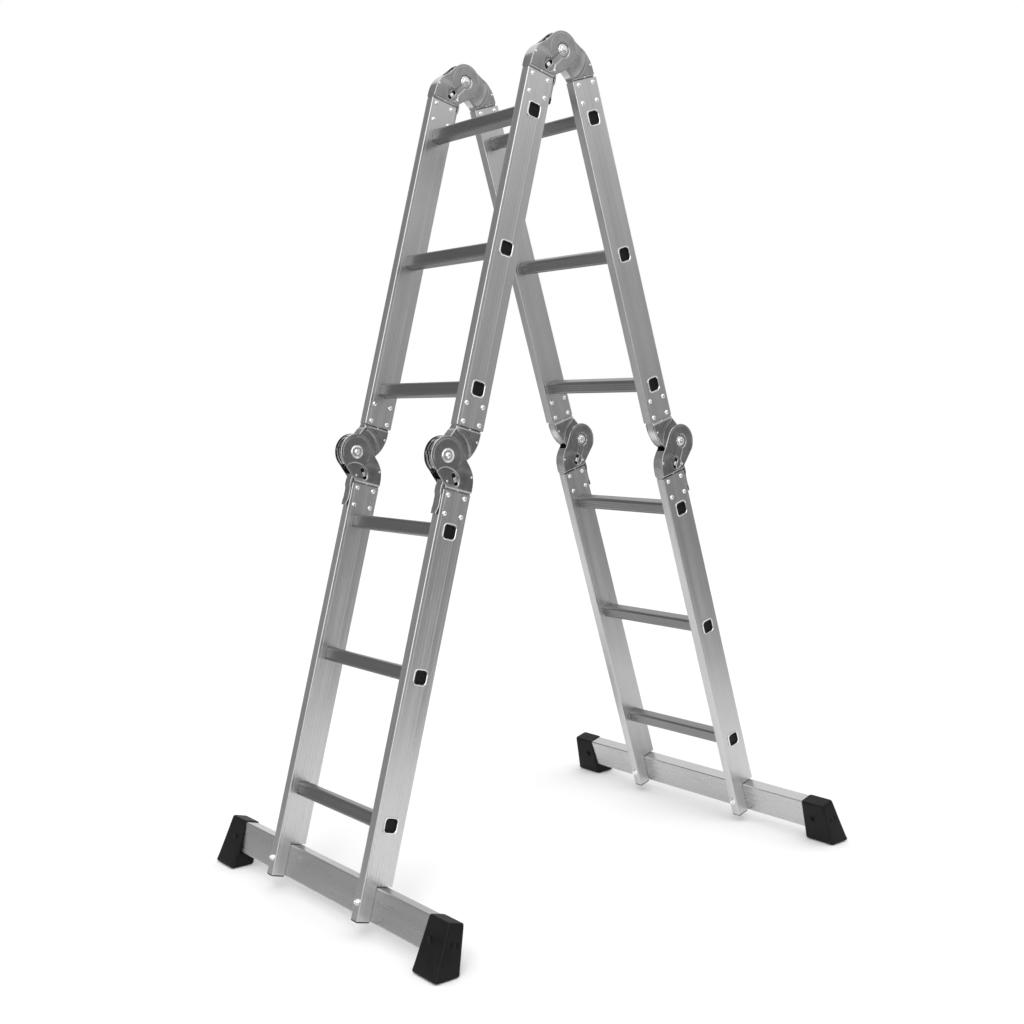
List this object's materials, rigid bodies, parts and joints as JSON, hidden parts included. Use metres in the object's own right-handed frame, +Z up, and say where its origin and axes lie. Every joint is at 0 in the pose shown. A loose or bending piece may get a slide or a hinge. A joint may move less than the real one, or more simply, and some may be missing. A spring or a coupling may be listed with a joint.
{
  "type": "multi position ladder",
  "caption": "Folding aluminium ladder of hinged rung sections standing as an A-frame, with locking hinges, stabilizer bars and rubber shoes",
  "frame": {"origin": "centre of the bounding box on the floor plane, the ladder standing as an A-frame", "axes": "+Z up, +Y along the rungs and pivots, -X towards the front leg and +X towards the rear leg"},
  "size_m": [1.099, 0.842, 1.7095],
  "materials": {
    "rail_aluminium": "satin extruded",
    "rung_aluminium": "satin extruded",
    "bar_aluminium": "satin extruded",
    "shoe_rubber": "matte moulded",
    "bolt_steel": "bright zinc plated",
    "pin_steel": "bright",
    "lever_steel": "zinc plated stamping",
    "hinge_steel": "zinc plated stamping"
  },
  "bodies": {
    "front_upper": {"front_mid_inner_arm_far": "hinge_steel", "front_mid_inner_arm_near": "hinge_steel", "front_upper_rail_far": "rail_aluminium", "front_upper_rail_near": "rail_aluminium", "front_upper_rung_1": "rung_aluminium", "front_upper_rung_2": "rung_aluminium", "front_upper_rung_3": "rung_aluminium", "top_outer_arm_far": "hinge_steel", "top_outer_arm_near": "hinge_steel", "top_pivot_bolt_far": "bolt_steel", "top_pivot_bolt_near": "bolt_steel"},
    "front_lower": {"front_bar_bolt_far": "bolt_steel", "front_bar_bolt_near": "bolt_steel", "front_lower_rail_far": "rail_aluminium", "front_lower_rail_near": "rail_aluminium", "front_lower_rung_1": "rung_aluminium", "front_lower_rung_2": "rung_aluminium", "front_lower_rung_3": "rung_aluminium", "front_mid_outer_arm_far": "hinge_steel", "front_mid_outer_arm_near": "hinge_steel", "front_mid_pivot_bolt_far": "bolt_steel", "front_mid_pivot_bolt_near": "bolt_steel", "front_shoe_far": "shoe_rubber", "front_shoe_near": "shoe_rubber", "front_stabilizer_bar": "bar_aluminium"},
    "rear_upper": {"rear_mid_inner_arm_far": "hinge_steel", "rear_mid_inner_arm_near": "hinge_steel", "rear_upper_rail_far": "rail_aluminium", "rear_upper_rail_near": "rail_aluminium", "rear_upper_rung_1": "rung_aluminium", "rear_upper_rung_2": "rung_aluminium", "rear_upper_rung_3": "rung_aluminium", "top_inner_arm_far": "hinge_steel", "top_inner_arm_near": "hinge_steel"},
    "rear_lower": {"rear_bar_bolt_far": "bolt_steel", "rear_bar_bolt_near": "bolt_steel", "rear_lower_rail_far": "rail_aluminium", "rear_lower_rail_near": "rail_aluminium", "rear_lower_rung_1": "rung_aluminium", "rear_lower_rung_2": "rung_aluminium", "rear_lower_rung_3": "rung_aluminium", "rear_mid_outer_arm_far": "hinge_steel", "rear_mid_outer_arm_near": "hinge_steel", "rear_mid_pivot_bolt_far": "bolt_steel", "rear_mid_pivot_bolt_near": "bolt_steel", "rear_shoe_far": "shoe_rubber", "rear_shoe_near": "shoe_rubber", "rear_stabilizer_bar": "bar_aluminium"},
    "front_mid_lock_far": {"front_mid_lock_pin_far": "pin_steel", "front_mid_release_lever_far": "lever_steel"},
    "front_mid_lock_near": {"front_mid_lock_pin_near": "pin_steel", "front_mid_release_lever_near": "lever_steel"},
    "rear_mid_lock_far": {"rear_mid_lock_pin_far": "pin_steel", "rear_mid_release_lever_far": "lever_steel"},
    "rear_mid_lock_near": {"rear_mid_lock_pin_near": "pin_steel", "rear_mid_release_lever_near": "lever_steel"},
    "top_lock_far": {"top_lock_pin_far": "pin_steel", "top_release_lever_far": "lever_steel"},
    "top_lock_near": {"top_lock_pin_near": "pin_steel", "top_release_lever_near": "lever_steel"}
  },
  "joints": [
    {"name": "top_hinge", "type": "hinge", "parent": "front_upper", "child": "rear_upper", "pos_m": [0.00367, 0, 1.67203], "axis": [0, -1, 0], "range_deg": [-31.91, 148.09]},
    {"name": "front_mid_hinge", "type": "hinge", "parent": "front_upper", "child": "front_lower", "pos_m": [-0.30928, 0, 0.88841], "axis": [0, -1, 0], "range_deg": [-180, 0]},
    {"name": "rear_mid_hinge", "type": "hinge", "parent": "rear_upper", "child": "rear_lower", "pos_m": [0.30634, 0, 0.88438], "axis": [0, 1, 0], "range_deg": [-180, 0]},
    {"name": "top_lever_near", "type": "hinge", "parent": "front_upper", "child": "top_lock_near", "pos_m": [-0.01783, -0.164, 1.61997], "axis": [0, -1, 0], "range_deg": [0, 5], "stiffness_Nm_per_rad": 1, "springref_deg": -2.86},
    {"name": "top_lever_far", "type": "hinge", "parent": "front_upper", "child": "top_lock_far", "pos_m": [-0.01783, 0.164, 1.61997], "axis": [0, -1, 0], "range_deg": [0, 5], "stiffness_Nm_per_rad": 1, "springref_deg": -2.86},
    {"name": "front_mid_lever_near", "type": "hinge", "parent": "front_lower", "child": "front_mid_lock_near", "pos_m": [-0.31927, -0.164, 0.83298], "axis": [0, 1, 0], "range_deg": [0, 5], "stiffness_Nm_per_rad": 1, "springref_deg": -2.86},
    {"name": "front_mid_lever_far", "type": "hinge", "parent": "front_lower", "child": "front_mid_lock_far", "pos_m": [-0.31927, 0.164, 0.83298], "axis": [0, 1, 0], "range_deg": [0, 5], "stiffness_Nm_per_rad": 1, "springref_deg": -2.86},
    {"name": "rear_mid_lever_near", "type": "hinge", "parent": "rear_lower", "child": "rear_mid_lock_near", "pos_m": [0.31561, -0.164, 0.82882], "axis": [0, -1, 0], "range_deg": [0, 5], "stiffness_Nm_per_rad": 1, "springref_deg": -2.86},
    {"name": "rear_mid_lever_far", "type": "hinge", "parent": "rear_lower", "child": "rear_mid_lock_far", "pos_m": [0.31561, 0.164, 0.82882], "axis": [0, -1, 0], "range_deg": [0, 5], "stiffness_Nm_per_rad": 1, "springref_deg": -2.86}
  ]
}
